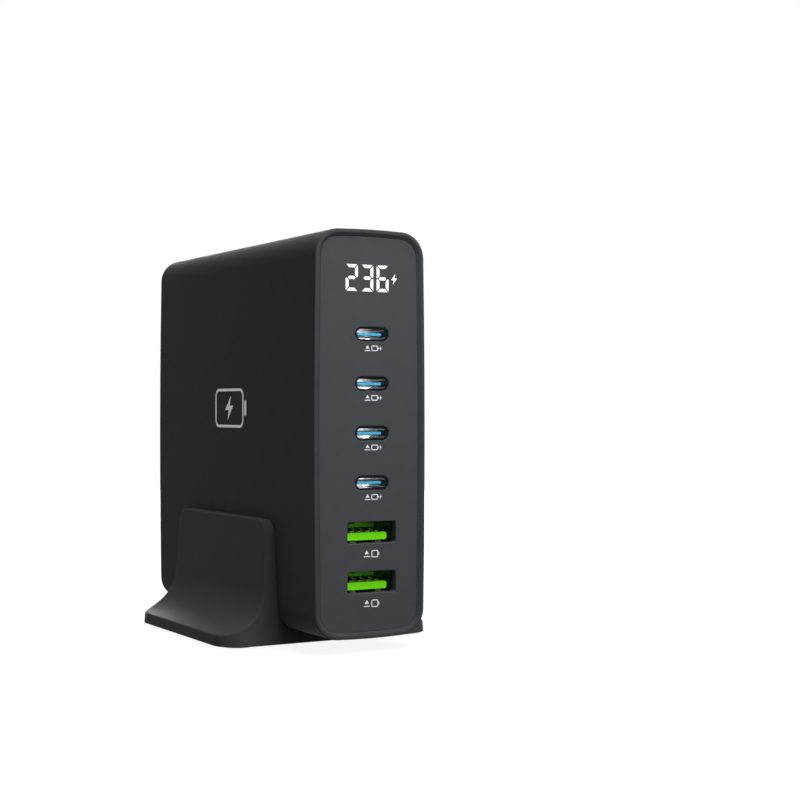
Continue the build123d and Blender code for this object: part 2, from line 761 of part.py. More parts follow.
# Stand: one section through foot, flares and cheeks, hollowed to the shape of the case
cheek_top = stand_bottom + cheek_height
foot_half = foot_width / 2
foot_top = stand_bottom + foot_edge
flare_z = foot_top + flare_height
flare_x = cheek_x + (cheek_top - flare_z) * tan(radians(cheek_draft))
with BuildPart() as stand:
    with BuildSketch(Plane.XZ):
        with BuildLine():
            Line((0, cheek_top), (cheek_x, cheek_top))
            cheek_line = Line((cheek_x, cheek_top), (flare_x, flare_z))
            flare = TangentArc((flare_x, flare_z), (foot_half, foot_top), tangent=cheek_line % 1)
            Polyline((foot_half, foot_top), (foot_half, stand_bottom), (0, stand_bottom), (0, cheek_top))
        make_face()
        mirror(about=Plane.YZ)
    extrude(amount=stand_length / 2, both=True)
    with BuildSketch(Plane.XY.offset(stand_bottom)):
        RectangleRounded(foot_width, stand_length, foot_corner)
    extrude(amount=cheek_height, taper=stand_draft, mode=Mode.INTERSECT)
    extrude(case_outline(-stand_length / 2, -seat_gap), amount=-stand_length, mode=Mode.SUBTRACT)
    cheek_tops = stand.edges().filter_by(Axis.X).group_by(Axis.Z)[-1]
    fillet(cheek_tops, cheek_corner)
    flat_sides = stand.faces().filter_by(GeomType.PLANE).sort_by(SortBy.AREA)
    cheek_sides = [side for side in flat_sides if abs(side.normal_at().X) > cos(radians(2 * cheek_draft))][-2:]
    fillet([edge for side in cheek_sides for edge in side.edges().sort_by(Axis.Z)[1:]], cheek_edge)
    core_outer = foot_half - core_wall
    core_arc = flare.radius + core_wall
    core_centre = flare.arc_center
    core_outer_z = core_centre.Y - sqrt(core_arc**2 - (core_centre.X - core_outer) ** 2)
    core_inner_z = core_centre.Y - sqrt(core_arc**2 - (core_centre.X - flare_x) ** 2)
    bay_pitch = core_bay_length + core_rib
    bay_starts = [(place - (core_bays - 1) / 2) * bay_pitch for place in range(core_bays)]
    with BuildSketch(*[Plane.XZ.offset(place) for place in bay_starts]):
        with BuildLine():
            Polyline(
                (flare_x, core_inner_z),
                (flare_x, stand_bottom),
                (core_outer, stand_bottom),
                (core_outer, core_outer_z),
            )
            RadiusArc((flare_x, core_inner_z), (core_outer, core_outer_z), -core_arc)
        make_face()
        mirror(about=Plane.YZ)
    extrude(amount=core_bay_length / 2, both=True, mode=Mode.SUBTRACT)
    with BuildSketch(Plane.XY.offset(stand_bottom)):
        with GridLocations(foot_width - 2 * pad_inset, stand_length - 2 * pad_inset, 2, 2):
            Circle(pad_diameter / 2 + pad_fit)
    extrude(amount=pad_thickness - pad_proud, mode=Mode.SUBTRACT)
save(stand, "stand")

# Foot pads: rubber discs set into the underside of the stand, a little proud of it
pad_places = GridLocations(foot_width - 2 * pad_inset, stand_length - 2 * pad_inset, 2, 2).local_locations
for number, place in enumerate(pad_places, start=1):
    with BuildPart() as foot_pad:
        with BuildSketch(Plane.XY):
            with Locations(place):
                Circle(pad_diameter / 2)
        extrude(amount=pad_thickness)
    save(foot_pad, f"foot_pad_{number}")
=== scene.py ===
import math

import bmesh
import bpy
from mathutils import Matrix, Vector


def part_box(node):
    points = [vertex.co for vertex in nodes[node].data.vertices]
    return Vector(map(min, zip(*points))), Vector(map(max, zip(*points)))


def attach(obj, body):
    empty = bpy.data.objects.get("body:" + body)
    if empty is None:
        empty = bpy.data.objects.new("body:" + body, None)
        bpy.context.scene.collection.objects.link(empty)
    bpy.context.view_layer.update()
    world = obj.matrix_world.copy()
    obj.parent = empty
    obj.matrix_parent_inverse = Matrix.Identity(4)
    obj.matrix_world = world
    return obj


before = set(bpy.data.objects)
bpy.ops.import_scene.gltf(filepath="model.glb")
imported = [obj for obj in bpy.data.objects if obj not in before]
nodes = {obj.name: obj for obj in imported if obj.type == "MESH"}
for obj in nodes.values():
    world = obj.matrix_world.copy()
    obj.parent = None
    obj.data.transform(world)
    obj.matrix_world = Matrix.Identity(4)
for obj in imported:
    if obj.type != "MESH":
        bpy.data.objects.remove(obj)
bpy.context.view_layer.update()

# Circuit boards: the upright main board carries the mains side, and the port board the sockets.
# Both are glass cloth in epoxy with etched copper tracks, under a green solder mask.
# The port board stands across the front end and is soldered to the main board along one edge.
mm = 0.001
track_width = 1.3 * mm
track_height = 0.035 * mm
half_wave = 0.16
mask_green = "#1b4f35"
track_green = "#2d7a4f"


def linear(hex_colour):
    """Turns an sRGB hex colour into the linear RGBA that a shader takes."""
    channels = [int(hex_colour[i : i + 2], 16) / 255 for i in (1, 3, 5)]
    return (*[c / 12.92 if c <= 0.04045 else ((c + 0.055) / 1.055) ** 2.4 for c in channels], 1.0)


def add_node(tree, kind, settings=None, links=None):
    """Adds a node to a tree, with its settings and the sockets that feed it."""
    node = tree.nodes.new(kind)
    for key, value in (settings or {}).items():
        if isinstance(key, str) and hasattr(node, key):
            setattr(node, key, value)
        else:
            node.inputs[key].default_value = value
    for key, socket in (links or {}).items():
        tree.links.new(socket, node.inputs[key])
    return node


def start_material(name):
    """Starts an empty material: gives it, its node tree and its Object coordinates."""
    material = bpy.data.materials.new(name)
    material.use_nodes = True
    tree = material.node_tree
    tree.nodes.clear()
    return material, tree, add_node(tree, "ShaderNodeTexCoord").outputs["Object"]


def finish_material(tree, settings, links):
    """Closes a material with its surface: even values set on the shader, patterns linked to it."""
    surface = add_node(tree, "ShaderNodeBsdfPrincipled", settings, links)
    add_node(tree, "ShaderNodeOutputMaterial", None, {"Surface": surface.outputs["BSDF"]})


def dress(material, *names):
    """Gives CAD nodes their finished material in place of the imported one."""
    for name in names:
        nodes[name].data.materials.clear()
        nodes[name].data.materials.append(material)


# The mask lies over the tracks like paint: they show as lighter, slightly raised lines.
# A wave texture goes from crest to trough in one metre at the scale half_wave.
solder_mask, tree, place = start_material("epoxy_glass_under_solder_mask")
tracks = add_node(
    tree,
    "ShaderNodeTexWave",
    {"Scale": half_wave / track_width, "Distortion": 7.0, "Detail": 1.0},
    {"Vector": place},
)
greens = add_node(
    tree,
    "ShaderNodeMix",
    {"data_type": "RGBA", 6: linear(mask_green), 7: linear(track_green)},
    {0: tracks.outputs["Fac"]},
)
raised = add_node(
    tree,
    "ShaderNodeBump",
    {"Strength": 0.6, "Distance": track_height},
    {"Height": tracks.outputs["Fac"]},
)
finish_material(
    tree, {"Roughness": 0.32}, {"Base Color": greens.outputs[2], "Normal": raised.outputs["Normal"]}
)
dress(solder_mask, "main_board", "port_board")

# Mains inlet: the two-pole socket at the rear, moulded in black glass-filled polyester.
# Its two pins are turned from brass and nickel plated, and pressed into the moulding.
inlet_dark = "#141517"
inlet_light = "#1c1d20"
inlet_grain = 0.35 * mm
cloud_grains = 25
pin_dull = "#b9b4aa"
pin_bright = "#dcd9d2"
turning_step = 0.5 * mm


def moulded(name, dark, light, grain, depth, settings):
    """A moulded surface: two close tones in soft clouds, and the fine grain that the mould pressed in.
    A cloud is as wide as cloud_grains of the grain, and the depth is the grain's own."""
    material, tree, place = start_material(name)
    clouds = add_node(
        tree,
        "ShaderNodeTexNoise",
        {"Scale": 1 / (cloud_grains * grain), "Detail": 3.0},
        {"Vector": place},
    )
    tones = add_node(
        tree,
        "ShaderNodeMix",
        {"data_type": "RGBA", 6: linear(dark), 7: linear(light)},
        {0: clouds.outputs["Fac"]},
    )
    pits = add_node(tree, "ShaderNodeTexNoise", {"Scale": 1 / grain, "Detail": 1.5}, {"Vector": place})
    relief = add_node(
        tree, "ShaderNodeBump", {"Strength": 0.5, "Distance": depth}, {"Height": pits.outputs["Fac"]}
    )
    finish_material(tree, settings, {"Base Color": tones.outputs[2], "Normal": relief.outputs["Normal"]})
    return material


def drawn_metal(name, dull, bright, repeats, smooth, rough):
    """A worked metal: lines along the way it was drawn, rolled or turned, brighter and duller by turns.
    The repeats are how many lines go into a metre along X, Y and Z."""
    material, tree, place = start_material(name)
    along = add_node(tree, "ShaderNodeMapping", {"Scale": repeats}, {"Vector": place})
    lines = add_node(
        tree, "ShaderNodeTexNoise", {"Scale": 1.0, "Detail": 3.0}, {"Vector": along.outputs["Vector"]}
    )
    tones = add_node(
        tree,
        "ShaderNodeMix",
        {"data_type": "RGBA", 6: linear(dull), 7: linear(bright)},
        {0: lines.outputs["Fac"]},
    )
    gloss = add_node(
        tree, "ShaderNodeMapRange", {"To Min": smooth, "To Max": rough}, {"Value": lines.outputs["Fac"]}
    )
    finish_material(
        tree, {"Metallic": 1.0}, {"Base Color": tones.outputs[2], "Roughness": gloss.outputs["Result"]}
    )
    return material


# Glass filling leaves the moulding dull, with a barely lighter cloud here and there.
inlet_plastic = moulded(
    "glass_filled_polyester_moulded", inlet_dark, inlet_light, inlet_grain, 0.02 * mm, {"Roughness": 0.5}
)
dress(inlet_plastic, "mains_inlet")

# Turning leaves rings round a pin, drawn coarser here than the tool's real feed, so that they show.
pin_metal = drawn_metal(
    "nickel_plated_brass_turned", pin_dull, pin_bright, (40, 1 / turning_step, 40), 0.14, 0.3
)
dress(pin_metal, "inlet_pin_1", "inlet_pin_2")

# Mains filter: fuse, surge varistor, two film capacitors and a ring choke behind the inlet.
# The film capacitors are potted in yellow boxes, the varistor is dipped in blue lacquer.
# The choke is enamelled copper wire on a ferrite ring, and all stand on the main board.
epoxy_dark = "#17181a"
epoxy_light = "#232427"
lacquer_dark = "#1f4c8c"
lacquer_light = "#2c63ad"
box_dark = "#c79a24"
box_light = "#d8ad38"
ferrite_dark = "#35363a"
ferrite_light = "#4a4b50"
wire_radius = 0.9 * mm
wire_gap_shade = "#8a4a22"
wire_ridge_highlight = "#c77a3f"

# Moulding compound is matt and slightly speckled by its filler.
epoxy = moulded(
    "epoxy_compound_moulded", epoxy_dark, epoxy_light, 0.25 * mm, 0.015 * mm, {"Roughness": 0.48}
)
dress(epoxy, "fuse", "bridge_rectifier")

# Dipped lacquer flows smooth, so it shines and only its tone drifts.
lacquer = moulded(
    "epoxy_lacquer_dipped", lacquer_dark, lacquer_light, 0.6 * mm, 0.01 * mm, {"Roughness": 0.28}
)
dress(lacquer, "varistor")

# The boxes come out of the mould with a light spark texture.
film_box = moulded(
    "polyester_box_moulded", box_dark, box_light, 0.3 * mm, 0.015 * mm, {"Roughness": 0.42}
)
dress(film_box, "x_capacitor_1", "x_capacitor_2")

# Sintering leaves ferrite a grainy dark grey, like fired clay.
ferrite = moulded(
    "ferrite_sintered", ferrite_dark, ferrite_light, 0.15 * mm, 0.03 * mm, {"Roughness": 0.62}
)
dress(ferrite, "choke_core")

# Enamel keeps the copper bright: each turn shows a painted highlight on its ridge and painted shade in
# the gap beside it.
# The wire is drawn thicker than it is, so that its turns show.
winding, tree, place = start_material("copper_wire_enamelled")
turns = add_node(
    tree,
    "ShaderNodeTexWave",
    {"bands_direction": "DIAGONAL", "Scale": half_wave / wire_radius},
    {"Vector": place},
)
copper_painted_shading = add_node(
    tree,
    "ShaderNodeMix",
    {"data_type": "RGBA", 6: linear(wire_gap_shade), 7: linear(wire_ridge_highlight)},
    {0: turns.outputs["Fac"]},
)
ridges = add_node(
    tree, "ShaderNodeBump", {"Strength": 0.8, "Distance": 0.2 * mm}, {"Height": turns.outputs["Fac"]}
)
finish_material(
    tree,
    {"Metallic": 1.0, "Roughness": 0.3},
    {"Base Color": copper_painted_shading.outputs[2], "Normal": ridges.outputs["Normal"]},
)
dress(winding, "choke_windings")

# Power parts: boost inductor, transformer, smoothing and output capacitors, and the output inductors.
# The cores are ferrite on moulded bobbins; the transformer's winding is wrapped in yellow tape.
# The capacitors are drawn aluminium cans, crimped shut over a rubber bung.
tape_width = 6.0 * mm
tape_dark = "#c8992b"
tape_light = "#e0b64a"
can_dull = "#a9abad"
can_bright = "#d2d3d4"

dress(epoxy, "boost_bobbin", "transformer_bobbin")
dress(ferrite, "boost_core", "transformer_core", *[f"buck_inductor_{i}" for i in range(1, 5)])
dress(winding, "boost_winding")

# Polyester tape overlaps itself: each lap is a little darker where two layers lie together.
tape, tree, place = start_material("polyester_tape_wrapped")
laps = add_node(
    tree,
    "ShaderNodeTexWave",
    {"bands_direction": "Z", "Scale": half_wave / tape_width},
    {"Vector": place},
)
yellows = add_node(
    tree,
    "ShaderNodeMix",
    {"data_type": "RGBA", 6: linear(tape_dark), 7: linear(tape_light)},
    {0: laps.outputs["Fac"]},
)
edges = add_node(
    tree, "ShaderNodeBump", {"Strength": 0.4, "Distance": 0.05 * mm}, {"Height": laps.outputs["Fac"]}
)
finish_material(
    tree, {"Roughness": 0.3}, {"Base Color": yellows.outputs[2], "Normal": edges.outputs["Normal"]}
)
dress(tape, "transformer_winding")

# Drawing leaves fine lines along a can, so its shine is broken lengthwise.
can = drawn_metal("aluminium_can_drawn", can_dull, can_bright, (1200, 1200, 60), 0.25, 0.42)
dress(can, *[f"bulk_capacitor_{i}" for i in (1, 2)], *[f"output_capacitor_{i}" for i in range(1, 5)])

# Heat sink and power switches: two moulded transistors clipped to an aluminium plate with ribs.
# The plate is cut from an extrusion and left as it comes from the die.
plate_dull = "#94979a"
plate_bright = "#b9bbbd"

# Extruding leaves straight die lines along the plate.
extruded = drawn_metal("aluminium_extruded", plate_dull, plate_bright, (900, 50, 900), 0.35, 0.5)
dress(extruded, "heat_sink")
dress(epoxy, "power_switch_1", "power_switch_2")

# Four narrow sockets in the panel's column: a deep-drawn steel shell with a moulded tongue inside.
# The shell is nickel plated and polished; the tongue is blue liquid-crystal polymer.
# Twelve gold-flashed contacts lie along each face of the tongue, half a millimetre apart.
shell_dull = "#8c8e92"
shell_bright = "#b4b7ba"
blue_dark = "#35bdf0"
blue_light = "#52d2fa"
gold_dull = "#c79a45"
gold_bright = "#e8c56f"
contact_count = 12
contact_pitch = 0.5 * mm
contact_width = 0.26 * mm
contact_length = 4.0 * mm
contact_setback = 0.45 * mm
contact_height = 0.03 * mm

# Plated and polished, so it mirrors its surroundings with only a faint drag along the draw.
socket_steel = drawn_metal(
    "nickel_plated_steel_drawn", shell_dull, shell_bright, (900, 120, 900), 0.06, 0.14
)
dress(socket_steel, *[f"usb_c_shell_{i}" for i in range(1, 5)])

# The polymer flows into a thin mould: an even, bright colour with a soft shine.
blue_tongue = moulded(
    "liquid_crystal_polymer_moulded", blue_dark, blue_light, 0.2 * mm, 0.006 * mm, {"Roughness": 0.38}
)
dress(blue_tongue, *[f"usb_c_tongue_{i}" for i in range(1, 5)])

# Gold flash over nickel: rolled strip, bright along its length.
contact_gold = drawn_metal(
    "copper_alloy_gold_flashed", gold_dull, gold_bright, (1500, 90, 1500), 0.18, 0.3
)

rows_tree = bpy.data.node_groups.new("repeat_in_rows", "GeometryNodeTree")
for label, kind in {
    "Geometry": "NodeSocketGeometry",
    "Columns": "NodeSocketInt",
    "Column Step": "NodeSocketVector",
    "Rows": "NodeSocketInt",
    "Row Step": "NodeSocketVector",
    "Finish": "NodeSocketMaterial",
}.items():
    rows_tree.interface.new_socket(label, in_out="INPUT", socket_type=kind)
rows_tree.interface.new_socket("Geometry", in_out="OUTPUT", socket_type="NodeSocketGeometry")
given = add_node(rows_tree, "NodeGroupInput").outputs
across = add_node(
    rows_tree, "GeometryNodeMeshLine", None, {"Count": given["Columns"], "Offset": given["Column Step"]}
)
one_row = add_node(
    rows_tree,
    "GeometryNodeInstanceOnPoints",
    None,
    {"Points": across.outputs["Mesh"], "Instance": given["Geometry"]},
)
down = add_node(
    rows_tree, "GeometryNodeMeshLine", None, {"Count": given["Rows"], "Offset": given["Row Step"]}
)
all_rows = add_node(
    rows_tree,
    "GeometryNodeInstanceOnPoints",
    None,
    {"Points": down.outputs["Mesh"], "Instance": one_row.outputs["Instances"]},
)
real = add_node(
    rows_tree, "GeometryNodeRealizeInstances", None, {"Geometry": all_rows.outputs["Instances"]}
)
finished = add_node(
    rows_tree,
    "GeometryNodeSetMaterial",
    None,
    {"Geometry": real.outputs["Geometry"], "Material": given["Finish"]},
)
add_node(rows_tree, "NodeGroupOutput", None, {"Geometry": finished.outputs["Geometry"]})


def repeat(name, mesh, material, columns=1, column_step=(0, 0, 0), rows=1, row_step=(0, 0, 0)):
    """Repeats a small mesh in rows through the node tree, and fixes the plain mesh to the body."""
    piece = bpy.data.objects.new(name, mesh)
    bpy.context.scene.collection.objects.link(piece)
    modifier = piece.modifiers.new("rows", "NODES")
    modifier.node_group = rows_tree
    values = {
        "Columns": columns,
        "Column Step": column_step,
        "Rows": rows,
        "Row Step": row_step,
        "Finish": material,
    }
    for socket in rows_tree.interface.items_tree:
        if socket.name in values:
            modifier[socket.identifier] = values[socket.name]
    graph = bpy.context.evaluated_depsgraph_get()
    whole = bpy.data.meshes.new_from_object(piece.evaluated_get(graph))
    piece.modifiers.remove(modifier)
    piece.data = whole
    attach(piece, "root")


def boxes(name, corners):
    """Makes one mesh of plain bars, each from its lowest to its highest corner."""
    shape = bmesh.new()
    for low, high in corners:
        size = Vector(high) - Vector(low)
        middle = (Vector(high) + Vector(low)) / 2
        bmesh.ops.create_cube(
            shape, size=1.0, matrix=Matrix.Translation(middle) @ Matrix.Diagonal((*size, 1.0))
        )
    mesh = bpy.data.meshes.new(name)
    shape.to_mesh(mesh)
    shape.free()
    return mesh


def rounded_box(x, y, width, height, corner, steps=6):
    """Gives the outline of a box with round corners about a centre, anticlockwise."""
    outline = []
    for turn, (sx, sy) in enumerate(((1, 1), (-1, 1), (-1, -1), (1, -1))):
        for step in range(steps + 1):
            angle = math.radians(90 * (turn + step / steps))
            cx = x + sx * (width / 2 - corner)
            cy = y + sy * (height / 2 - corner)
            outline.append((cx + corner * math.cos(angle), cy + corner * math.sin(angle)))
    return outline


def flat_mesh(name, outlines, thickness, right, up, centre):
    """Makes a thin plate from flat outlines in millimetres, one inside another being a hole.
    The plate lies on a face: its outlines run along right and up from centre, and it rises outwards."""
    curve = bpy.data.curves.new(name, "CURVE")
    curve.dimensions = "2D"
    curve.fill_mode = "BOTH"
    curve.extrude = thickness / mm
    for outline in outlines:
        spline = curve.splines.new("POLY")
        spline.points.add(len(outline) - 1)
        spline.points.foreach_set("co", [value for x, y in outline for value in (x, y, 0.0, 1.0)])
        spline.use_cyclic_u = True
    drawn = bpy.data.objects.new(name, curve)
    mesh = bpy.data.meshes.new_from_object(drawn)
    bpy.data.objects.remove(drawn)
    shape = bmesh.new()
    shape.from_mesh(mesh)
    bmesh.ops.remove_doubles(shape, verts=shape.verts, dist=0.0005)
    bmesh.ops.recalc_face_normals(shape, faces=shape.faces)
    right, up = Vector(right), Vector(up)
    turned = Matrix((right, up, right.cross(up))).transposed().to_4x4()
    bmesh.ops.transform(
        shape, matrix=Matrix.Translation(centre) @ turned @ Matrix.Scale(mm, 4), verts=shape.verts
    )
    shape.to_mesh(mesh)
    shape.free()
    return mesh


tongue_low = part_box("usb_c_tongue_1")[0]
port_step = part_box("usb_c_tongue_2")[0].z - tongue_low.z
shell_low, shell_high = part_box("usb_c_shell_1")
tongue_thickness = 0.7 * mm
column_x = (shell_low.x + shell_high.x) / 2
first_z = (shell_low.z + shell_high.z) / 2
first_x = column_x - (contact_count - 1) / 2 * contact_pitch
contact_front = tongue_low.y + contact_setback
contact_faces = []
for side in (-1, 1):
    face_z = first_z + side * tongue_thickness / 2
    contact_faces.append(
        (
            (first_x - contact_width / 2, contact_front, face_z - contact_height),
            (first_x + contact_width / 2, contact_front + contact_length, face_z + contact_height),
        )
    )
repeat(
    "usb_c_contacts",
    boxes("usb_c_contact", contact_faces),
    contact_gold,
    columns=contact_count,
    column_step=(contact_pitch, 0, 0),
    rows=4,
    row_step=(0, 0, port_step),
)

# A steel shield stands round the tongue's root and grounds the plug.
shield_width = 8.24
shield_height = 2.46
shield_thickness = 0.1 * mm
shield_slot_width = 7.1
shield_slot_height = 1.24
shield_slot_corner = 0.3
shield_dull = "#e2e4e6"
shield_bright = "#f4f5f6"
root_length = 6.5 * mm
root_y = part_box("port_board")[0].y - root_length
shield = [
    rounded_box(0, 0, shield_width, shield_height, shield_height / 2),
    rounded_box(0, 0, shield_slot_width, shield_slot_height, shield_slot_corner),
]
shield_place = (column_x, root_y - shield_thickness, first_z)
# Bright rolled strip: it mirrors the lit mouth from the back of the socket.
shield_steel = drawn_metal(
    "stainless_strip_rolled", shield_dull, shield_bright, (160, 60, 160), 0.08, 0.14
)
repeat(
    "usb_c_shields",
    flat_mesh("usb_c_shield", shield, shield_thickness, (1, 0, 0), (0, 0, 1), shield_place),
    shield_steel,
    rows=4,
    row_step=(0, 0, port_step),
)

# A thin black ring lies in the shell's mouth against the panel: painted shade, standing in for the
# shadow in the gap between them.
shade_ring_width = 9.25
shade_ring_height = 3.37
shade_ring_wall = 0.44
shade_ring_thickness = 0.06 * mm
mouth_shade_dark = "#08090a"
mouth_shade_light = "#0d0e10"
mouth_width = shade_ring_width - 2 * shade_ring_wall
mouth_height = shade_ring_height - 2 * shade_ring_wall
shade_ring = [
    rounded_box(0, 0, shade_ring_width, shade_ring_height, shade_ring_height / 2),
    rounded_box(0, 0, mouth_width, mouth_height, mouth_height / 2),
]
shade_ring_place = (column_x, shell_low.y - shade_ring_thickness, first_z)
# The ring is painted shade, near black and dull, so the mouth has a black outline of shadow.
painted_shade_ring = moulded(
    "black_ring_painted_shade",
    mouth_shade_dark,
    mouth_shade_light,
    0.2 * mm,
    0.01 * mm,
    {"Roughness": 0.8, "Specular IOR Level": 0.1},
)
repeat(
    "usb_c_shade_rings",
    flat_mesh("usb_c_shade_ring", shade_ring, shade_ring_thickness, (1, 0, 0), (0, 0, 1), shade_ring_place),
    painted_shade_ring,
    rows=4,
    row_step=(0, 0, port_step),
)

# Two wide sockets below them: a folded steel shell with a green moulded tongue and four leaf contacts.
# The shell is stamped from nickel-plated strip, with sprung leaves pressed in from its walls.
# The leaves grip the plug from above and below.
green_dark = "#76f60c"
green_light = "#84ff14"
shaded_nickel_dull = "#4c4e51"
shaded_nickel_bright = "#606366"
shaded_bronze_dull = "#56503c"
shaded_bronze_bright = "#7a7358"
shell_wall = 0.3 * mm
leaf_width = 1.7 * mm
leaf_length = 5.5 * mm
leaf_thickness = 0.2 * mm
leaf_bow = 0.55 * mm
leaf_setback = 1.3 * mm
leaf_spread = 3.6 * mm
leaf_steps = 10

# Nickel over the strip, its colour darkened as painted shade for the deep inside: it still mirrors, but
# dimly, so the inside looks dark and green.
painted_shade_nickel = drawn_metal(
    "nickel_plated_strip_painted_shade", shaded_nickel_dull, shaded_nickel_bright, (700, 120, 700), 0.12, 0.22
)
dress(painted_shade_nickel, "usb_a_shell_1", "usb_a_shell_2")

# Polyester in a bright colour, glossy where the mould was polished.
green_tongue = moulded(
    "polyester_green_moulded",
    green_dark,
    green_light,
    0.25 * mm,
    0.006 * mm,
    {"Roughness": 0.4, "Specular IOR Level": 0.1},
)
dress(green_tongue, "usb_a_tongue_1", "usb_a_tongue_2")

# Bronze leaves with a thin flash of gold, darkened as painted shade inside the socket, so they are
# duller than the small contacts above.
painted_shade_gold = drawn_metal(
    "gold_flashed_bronze_painted_shade", shaded_bronze_dull, shaded_bronze_bright, (600, 90, 600), 0.25, 0.4
)
dress(painted_shade_gold, "usb_a_contacts_1", "usb_a_contacts_2")

wide_low, wide_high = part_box("usb_a_shell_1")
wide_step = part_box("usb_a_shell_2")[0].z - wide_low.z
leaves = bmesh.new()
for side in (-1, 1):
    wall_z = wide_high.z - shell_wall if side > 0 else wide_low.z + shell_wall
    for column in (-1, 1):
        left = column_x + column * leaf_spread - leaf_width / 2
        rings = []
        for step in range(leaf_steps + 1):
            share = step / leaf_steps
            y = wide_low.y + leaf_setback + share * leaf_length
            z = wall_z - side * leaf_bow * math.sin(math.pi * share)
            inner = -side * leaf_thickness
            corners = ((0, 0), (leaf_width, 0), (leaf_width, inner), (0, inner))
            rings.append([leaves.verts.new((left + dx, y, z + dz)) for dx, dz in corners])
        for ring, after in zip(rings, rings[1:]):
            for i in range(4):
                leaves.faces.new((ring[i], ring[(i + 1) % 4], after[(i + 1) % 4], after[i]))
        leaves.faces.new(rings[0])
        leaves.faces.new(rings[-1])
bmesh.ops.recalc_face_normals(leaves, faces=leaves.faces)
leaf_mesh = bpy.data.meshes.new("usb_a_leaf")
leaves.to_mesh(leaf_mesh)
leaves.free()
# The leaves take the same nickel, darkened with painted shade.
repeat("usb_a_leaves", leaf_mesh, painted_shade_nickel, rows=2, row_step=(0, 0, wide_step))

# Display module: a white-light segment block on the port board, behind the panel's thinned wall.
# Its case is moulded epoxy with light wells, soldered to the board by two rows of legs.
dress(epoxy, "display_module")

# Insulation sheet and heat spreader: two flat sheets that line the housing's side walls.
# The first is cut from polyester film and keeps the mains side off the wall.
# The second is cut from rolled aluminium and spreads the heat over the wall.
film_dark = "#15161a"
film_light = "#202228"

# Film is smooth and glossy, with faint waves where it lies loose.
film = moulded("polyester_film_cut", film_dark, film_light, 1.2 * mm, 0.03 * mm, {"Roughness": 0.25})
dress(film, "insulation_sheet")

# Rolled sheet has straight lines along the roll.
rolled = drawn_metal("aluminium_sheet_rolled", plate_dull, plate_bright, (900, 40, 900), 0.3, 0.45)
dress(rolled, "heat_spreader")

# Housing: one deep bucket of flame-retardant polycarbonate blend, open at the front.
# Its mould is spark textured, so the dark grey is matt, with large soft-edged corners.
# A charging sign is pad printed on the left wall in silver ink.
case_dark = "#3f4144"
case_light = "#444649"
case_grain = 0.16 * mm
silver_ink_dark = "#e6e9eb"
silver_ink_light = "#f2f4f5"
ink_thickness = 0.02 * mm
sign_centre_y = -0.25 * mm
sign_centre_z = 59.7 * mm
sign_width = 18.4
sign_height = 10.4
sign_stroke = 0.7
sign_corner = 2.2
sign_tip_width = 1.1
sign_tip_height = 4.2
sign_tip_gap = 0.6
sign_tip_corner = 0.6
sign_bolt_width = 5.2
sign_bolt_height = 6.4

housing_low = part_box("housing")[0]

# The spark texture is finer than a pixel; it is drawn a little coarser so that it breaks the shine.
case_plastic = moulded(
    "polycarbonate_spark_textured",
    case_dark,
    case_light,
    case_grain,
    0.012 * mm,
    {"Roughness": 0.68, "Specular IOR Level": 0.025},
)
dress(case_plastic, "housing")

# Aluminium flakes in the thin ink catch the bright room, a touch unevenly where the pad pressed less.
silver_ink = moulded(
    "ink_silver_pad_printed",
    silver_ink_dark,
    silver_ink_light,
    0.12 * mm,
    0.002 * mm,
    {"Roughness": 0.5, "Metallic": 0.22},
)


def bolt(x, y, width, height):
    """Gives the outline of a plain lightning bolt about a centre."""
    shape = ((0.2, 0.5), (-0.5, -0.08), (-0.06, -0.08), (-0.2, -0.5), (0.5, 0.1), (0.06, 0.1))
    return [(x + width * u, y + height * v) for u, v in shape]


sign_tip_x = sign_width / 2 + sign_tip_gap + sign_tip_width / 2
inner_width = sign_width - 2 * sign_stroke
inner_height = sign_height - 2 * sign_stroke
sign = [
    rounded_box(0, 0, sign_width, sign_height, sign_corner),
    rounded_box(0, 0, inner_width, inner_height, sign_corner - sign_stroke),
    rounded_box(sign_tip_x, 0, sign_tip_width, sign_tip_height, sign_tip_corner),
    bolt(0, 0, sign_bolt_width, sign_bolt_height),
]
sign_place = (housing_low.x, sign_centre_y, sign_centre_z)
repeat(
    "side_sign",
    flat_mesh("side_sign", sign, ink_thickness, (0, -1, 0), (0, 0, 1), sign_place),
    silver_ink,
)

# Front panel: a flat plate of the same blend, snapped into the housing's rim and a shade glossier.
# The display's segments shine white through its thinned wall.
# Below each socket a charging sign is pad printed in white.
panel_dark = "#424448"
panel_light = "#47494d"
white_ink_dark = "#dfe3e4"
white_ink_light = "#f2f5f5"
light_dim = "#f4f8fb"
light_full = "#ffffff"
light_drift = 2.0 * mm
segment_body = "#8c9094"
segment_depth = 0.03 * mm
digit_height = 6.8
digit_width = 3.65
digit_pitch = 4.3
digit_stroke = 1.08
digit_gap = 0.3
reading = "236"
reading_x = -1.38
reading_z = 0.1
reading_bolt_gap = 1.1
reading_bolt_width = 1.7
reading_bolt_height = 2.6
narrow_sign_drop = 3.44 * mm
wide_sign_drop = 5.2 * mm

# A finer spark than the housing's, so the panel takes a soft sheen from the lights before it.
panel_plastic = moulded(
    "polycarbonate_fine_textured",
    panel_dark,
    panel_light,
    0.14 * mm,
    0.008 * mm,
    {"Roughness": 0.65, "Specular IOR Level": 0.06},
)
dress(panel_plastic, "front_panel")

